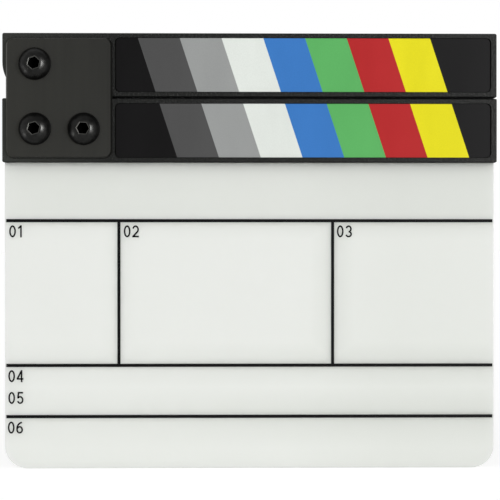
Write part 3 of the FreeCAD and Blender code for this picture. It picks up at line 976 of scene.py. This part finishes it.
@dataclass
class WritingBoard:
    """The acrylic sheet with its ruled fields and their plain numbers. Lengths in millimetres.

    The cell, the pen and the advance from figure to figure are shares of the figures' height.
    """

    body: str = "board"
    cap_height: float = 4.9
    cell: float = 0.56
    pen: float = 0.135
    advance: float = 0.70
    ink_proud: float = 0.05
    ink_sunk: float = 0.02
    places: tuple[Span, ...] = (
        (-98.2, 94.3),
        (-51.5, 94.3),
        (35.6, 94.3),
        (-98.6, 35.2),
        (-98.6, 26.3),
        (-98.8, 14.2),
    )

    def dress(self) -> None:
        """Gives the sheet and its rules their finishes, and prints the numbers."""
        ink = Ink().make()
        dress("writing_board", OpalAcrylic().make())
        dress("board_rules", ink)
        for index, (left, foot) in enumerate(self.places, start=1):
            self.number(index, left, foot, ink)

    def number(self, value: int, left: float, foot: float, ink: Material) -> bpy.types.Object:
        """Prints one two-figure number on the sheet's face.

        Args:
            value: The number.
            left: Place across of its left edge, in millimetres.
            foot: Height of its lower edge, in millimetres.
            ink: Its finish.

        Returns:
            The piece.
        """
        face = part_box("writing_board")[0].y
        points: list[np.ndarray] = []
        quads: list[np.ndarray] = []
        for column, figure in enumerate(divmod(value, 10)):
            for stroke in Digit(figure).strokes(self.cell, self.pen):
                path = (stroke + (column * self.advance, 0.0)) * self.cap_height + (left, foot)
                vertices, faces = pen_stroke(
                    path * MILLIMETRE,
                    self.pen * self.cap_height * MILLIMETRE,
                    face + self.ink_sunk * MILLIMETRE,
                    face - self.ink_proud * MILLIMETRE,
                )
                quads.append(faces + sum(len(part) for part in points))
                points.append(vertices)
        piece = quad_piece(f"field_number_{value}", np.vstack(points), np.vstack(quads))
        piece.data.materials.append(ink)
        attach(piece, self.body)
        log.info("printed %s with %d faces", piece.name, len(piece.data.polygons))
        return piece


@dataclass
class Clapstick:
    """One moulded clapstick with its printed label and its closing screws."""

    stick: Stick

    def dress(self, plastic: Material, steel: Material, films: dict[str, Material]) -> None:
        """Gives the stick's pieces their finishes.

        Args:
            plastic: Finish of the two shells.
            steel: Finish of the closing screws.
            films: Finishes of the label, by the end of the node's name.
        """
        finishes = {"stick_front": plastic, "stick_rear": plastic, "cover_screws": steel}
        for ending, material in (finishes | films).items():
            dress(f"{self.stick.value}_{ending}", material)


@dataclass
class Hinge:
    """The two steel plates with the screws, nuts, bush and washers of the pivot."""

    plates: tuple[str, ...] = ("front_hinge_plate", "rear_hinge_plate")
    fasteners: tuple[str, ...] = ("pivot_screw", "plate_screws", "pivot_sleeve_nut", "plate_sleeve_nuts")
    washers: tuple[str, ...] = ("front_pivot_washer", "rear_pivot_washer")
    bushes: tuple[str, ...] = ("pivot_bush",)

    def axes(self) -> tuple[Span, ...]:
        """Finds the three screws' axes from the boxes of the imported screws.

        Returns:
            Place across and up of each axis, in metres.
        """
        pivot, pivot_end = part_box("pivot_screw")
        left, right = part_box("plate_screws")
        radius = (right.z - left.z) / 2
        return (
            ((pivot.x + pivot_end.x) / 2, (pivot.z + pivot_end.z) / 2),
            (left.x + radius, left.z + radius),
            (right.x - radius, left.z + radius),
        )

    def dress(self, steel: Material) -> None:
        """Gives the hinge's pieces their finishes.

        Args:
            steel: Finish of the screws and nuts.
        """
        finishes = (
            (self.plates, CoatedSteel().make()),
            (self.fasteners, steel),
            (self.washers, Nylon().make()),
            (self.bushes, BushBronze().make()),
        )
        for nodes, material in finishes:
            for node in nodes:
                dress(node, material)


def stand(tool: bpy.types.Object, place: Point, aim: Point) -> None:
    """Links a lamp or the camera to the scene, at a place and turned towards a target.

    Args:
        tool: The lamp or the camera.
        place: Where it stands, in metres.
        aim: Where it points, in metres.
    """
    tool.location = place
    tool.rotation_mode = "QUATERNION"
    tool.rotation_quaternion = (Vector(aim) - Vector(place)).to_track_quat("-Z", "Y")
    bpy.context.scene.collection.objects.link(tool)


@dataclass(frozen=True)
class Lamp:
    """A soft rectangular lamp for highlights: its place and size in metres, power and target."""

    name: str
    place: Point
    size: Span
    power: float
    aim: Point = (-0.087, 0.0, 0.15)

    def hang(self) -> None:
        """Adds the lamp to the scene. It shows in reflections alone."""
        light = bpy.data.lights.new(self.name, "AREA")
        light.shape = "RECTANGLE"
        light.size, light.size_y = self.size
        light.energy = self.power
        lamp = bpy.data.objects.new(self.name, light)
        lamp.visible_camera = False
        lamp.visible_diffuse = False
        stand(lamp, self.place, self.aim)
        log.info("hung %s", self.name)


@dataclass
class Studio:
    """Plain soft light, a pale floor, a white surround and the camera. Lengths in metres.

    Each reach is the stretch of a direction's part along one axis over which that light changes.
    """

    front_light: float = 1.5
    side_light: float = 0.6
    rear_light: float = 0.56
    front_reach: Span = (0.2, -1.0)
    rear_reach: Span = (0.1, 0.5)
    slope_light: Span = (1.5, 0.6)
    slope_reach: Span = (0.0, 0.6)
    white_reaches: tuple[Span, Span] = ((-0.1, 0.15), (-0.6, -0.95))
    room_light: Span = (1.0, 0.05)
    room_reach: Span = (-0.8, 0.8)
    ceiling: float = 0.2
    floor_half: float = 12.0
    floor_lines: int = 9
    floor_drop: float = 0.0003
    floor_colour: Colour = (0.7, 0.7, 0.7)
    floor_glow: Span = (0.26, 0.58)
    lens: float = 110.36
    sensor: float = 36.0
    clip: Span = (0.01, 100.0)
    eye: Point = (-0.00925, -0.6281, 0.09268)
    aim: Point = (0.000063, 0.0, 0.08912)
    lamps: tuple[Lamp, ...] = (
        Lamp("window", (0.56, -0.64, 0.12), (0.22, 0.6), 24.5),
        Lamp("left_glow", (-0.62, -0.05, 0.04), (0.1, 0.12), 0.2),
        Lamp("low_glow", (-0.25, -0.028, 0.052), (0.012, 0.012), 0.05),
    )

    def build(self) -> None:
        """Sets up the surround, the floor, the lamps and the camera."""
        bpy.context.scene.view_settings.view_transform = "Standard"
        self.light_surround()
        self.lay_floor()
        for lamp in self.lamps:
            lamp.hang()
        self.set_camera()

    def shown_light(self, wiring: Wiring, across: Socket, back: Socket, up: Socket) -> Socket:
        """What the camera and reflections show of the surround.

        The camera sees white. Reflections show white behind the object and in front of it, and
        between these a room that is pale on the left and dark on the right.

        Args:
            wiring: Node tree of the surround.
            across: Part of the direction along X.
            back: Part of it along Y.
            up: Part of it along Z.

        Returns:
            The strength of the light.
        """
        camera = wiring.tree.nodes.new("ShaderNodeLightPath").outputs["Is Camera Ray"]
        screens = (wiring.ramp(back, 0.0, 1.0, *reach) for reach in self.white_reaches)
        white = wiring.combine(Join.LARGEST, *screens, camera)
        walls = wiring.ramp(across, *self.room_light, *self.room_reach)
        room = wiring.combine(Join.SUM, walls, wiring.ramp(up, 0.0, self.ceiling))
        shown = wiring.tree.nodes.new("ShaderNodeMix")
        shown.inputs["B"].default_value = 1.0
        wiring.tree.links.new(white, shown.inputs["Factor"])
        wiring.tree.links.new(room, shown.inputs["A"])
        return shown.outputs["Result"]

    def scattered_light(self, wiring: Wiring, back: Socket, up: Socket) -> Socket:
        """The light that surfaces scatter, fullest in front and near the horizon.

        Args:
            wiring: Node tree of the surround.
            back: Part of the direction along Y.
            up: Part of it along Z.

        Returns:
            The strength of the light.
        """
        ahead = wiring.ramp(back, self.side_light, self.front_light, *self.front_reach)
        slope = wiring.ramp(up, *self.slope_light, *self.slope_reach)
        behind = wiring.ramp(back, 0.0, self.rear_light - self.side_light, *self.rear_reach)
        sloped = wiring.combine(Join.PRODUCT, ahead, slope)
        return wiring.combine(Join.SUM, sloped, behind)

    def light_surround(self) -> None:
        """Lights the scene from all around: one light is seen directly, the other is scattered."""
        world = bpy.data.worlds.new("studio")
        world.use_nodes = True
        wiring = Wiring(world.node_tree)
        tree = wiring.tree
        place = tree.nodes.new("ShaderNodeTexCoord")
        toward = tree.nodes.new("ShaderNodeSeparateXYZ")
        tree.links.new(place.outputs["Generated"], toward.inputs["Vector"])
        across, back, up = toward.outputs
        scattered = self.scattered_light(wiring, back, up)
        shown = self.shown_light(wiring, across, back, up)
        mix = tree.nodes.new("ShaderNodeMixShader")
        tree.links.new(wiring.seen_directly(), mix.inputs[0])
        for index, strength in enumerate((scattered, shown), start=1):
            light = tree.nodes.new("ShaderNodeBackground")
            light.inputs["Color"].default_value = (1.0, 1.0, 1.0, 1.0)
            tree.links.new(strength, light.inputs["Strength"])
            tree.links.new(light.outputs["Background"], mix.inputs[index])
        output = tree.nodes.new("ShaderNodeOutputWorld")
        tree.links.new(mix.outputs["Shader"], output.inputs["Surface"])
        bpy.context.scene.world = world
        log.info("lit the surround")

    def lay_floor(self) -> None:
        """A wide flat floor: an even grid over two parameters, just below the sheet's lower edge.

        It glows faintly in scattered light, and more where it is seen directly, so that it looks
        white and keeps the shadow.
        """
        side = np.linspace(-self.floor_half, self.floor_half, self.floor_lines)
        across, along = np.meshgrid(side, side, indexing="ij")
        height = np.full(across.size, -self.floor_drop)
        points = np.column_stack((across.ravel(), along.ravel(), height))
        number = np.arange(across.size).reshape(across.shape)
        corners = (number[:-1, :-1], number[1:, :-1], number[1:, 1:], number[:-1, 1:])
        floor = quad_piece("floor", points, np.stack(corners, axis=2).reshape(-1, 4))
        material = bpy.data.materials.new("floor")
        material.use_nodes = True
        wiring = Wiring(material.node_tree)
        tree = wiring.tree
        output = tree.nodes.new("ShaderNodeOutputMaterial")
        matt = tree.nodes.new("ShaderNodeBsdfDiffuse")
        matt.inputs["Color"].default_value = (*self.floor_colour, 1.0)
        glow = tree.nodes.new("ShaderNodeEmission")
        both = tree.nodes.new("ShaderNodeAddShader")
        tree.links.new(wiring.ramp(wiring.seen_directly(), *self.floor_glow), glow.inputs["Strength"])
        tree.links.new(matt.outputs["BSDF"], both.inputs[0])
        tree.links.new(glow.outputs["Emission"], both.inputs[1])
        tree.links.new(both.outputs["Shader"], output.inputs["Surface"])
        floor.data.materials.append(material)
        floor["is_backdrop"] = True
        log.info("laid %s", floor.name)

    def set_camera(self) -> None:
        """Puts the camera where the photograph was taken from."""
        data = bpy.data.cameras.new("camera")
        data.lens = self.lens
        data.sensor_width = self.sensor
        data.clip_start, data.clip_end = self.clip
        camera = bpy.data.objects.new("camera", data)
        stand(camera, self.eye, self.aim)
        bpy.context.scene.camera = camera


def label_films() -> dict[str, Material]:
    """Builds the finishes of a label.

    Returns:
        The finishes, by the end of the node's name.
    """
    films = {"label_strip": PrintedVinyl("label_black", linear(14, 13, 14), gloss=0.45).make()}
    for stripe in Stripe:
        name = stripe.name.lower()
        films[f"stripe_{name}"] = PrintedVinyl(f"label_{name}", stripe.value).make()
    return films


def main() -> None:
    """Dresses the slate piece by piece and sets up the studio."""
    logging.basicConfig(level=logging.INFO, format="%(name)s: %(message)s")
    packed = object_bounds()
    hinge = Hinge()
    plastic = MouldedPlastic().make()
    steel = BlackOxide().make(hinge.axes(), packed[1].y)
    films = label_films()
    WritingBoard().dress()
    for stick in Stick:
        Clapstick(stick).dress(plastic, steel, films)
    hinge.dress(steel)
    Studio().build()


if __name__ == "__main__":
    main()
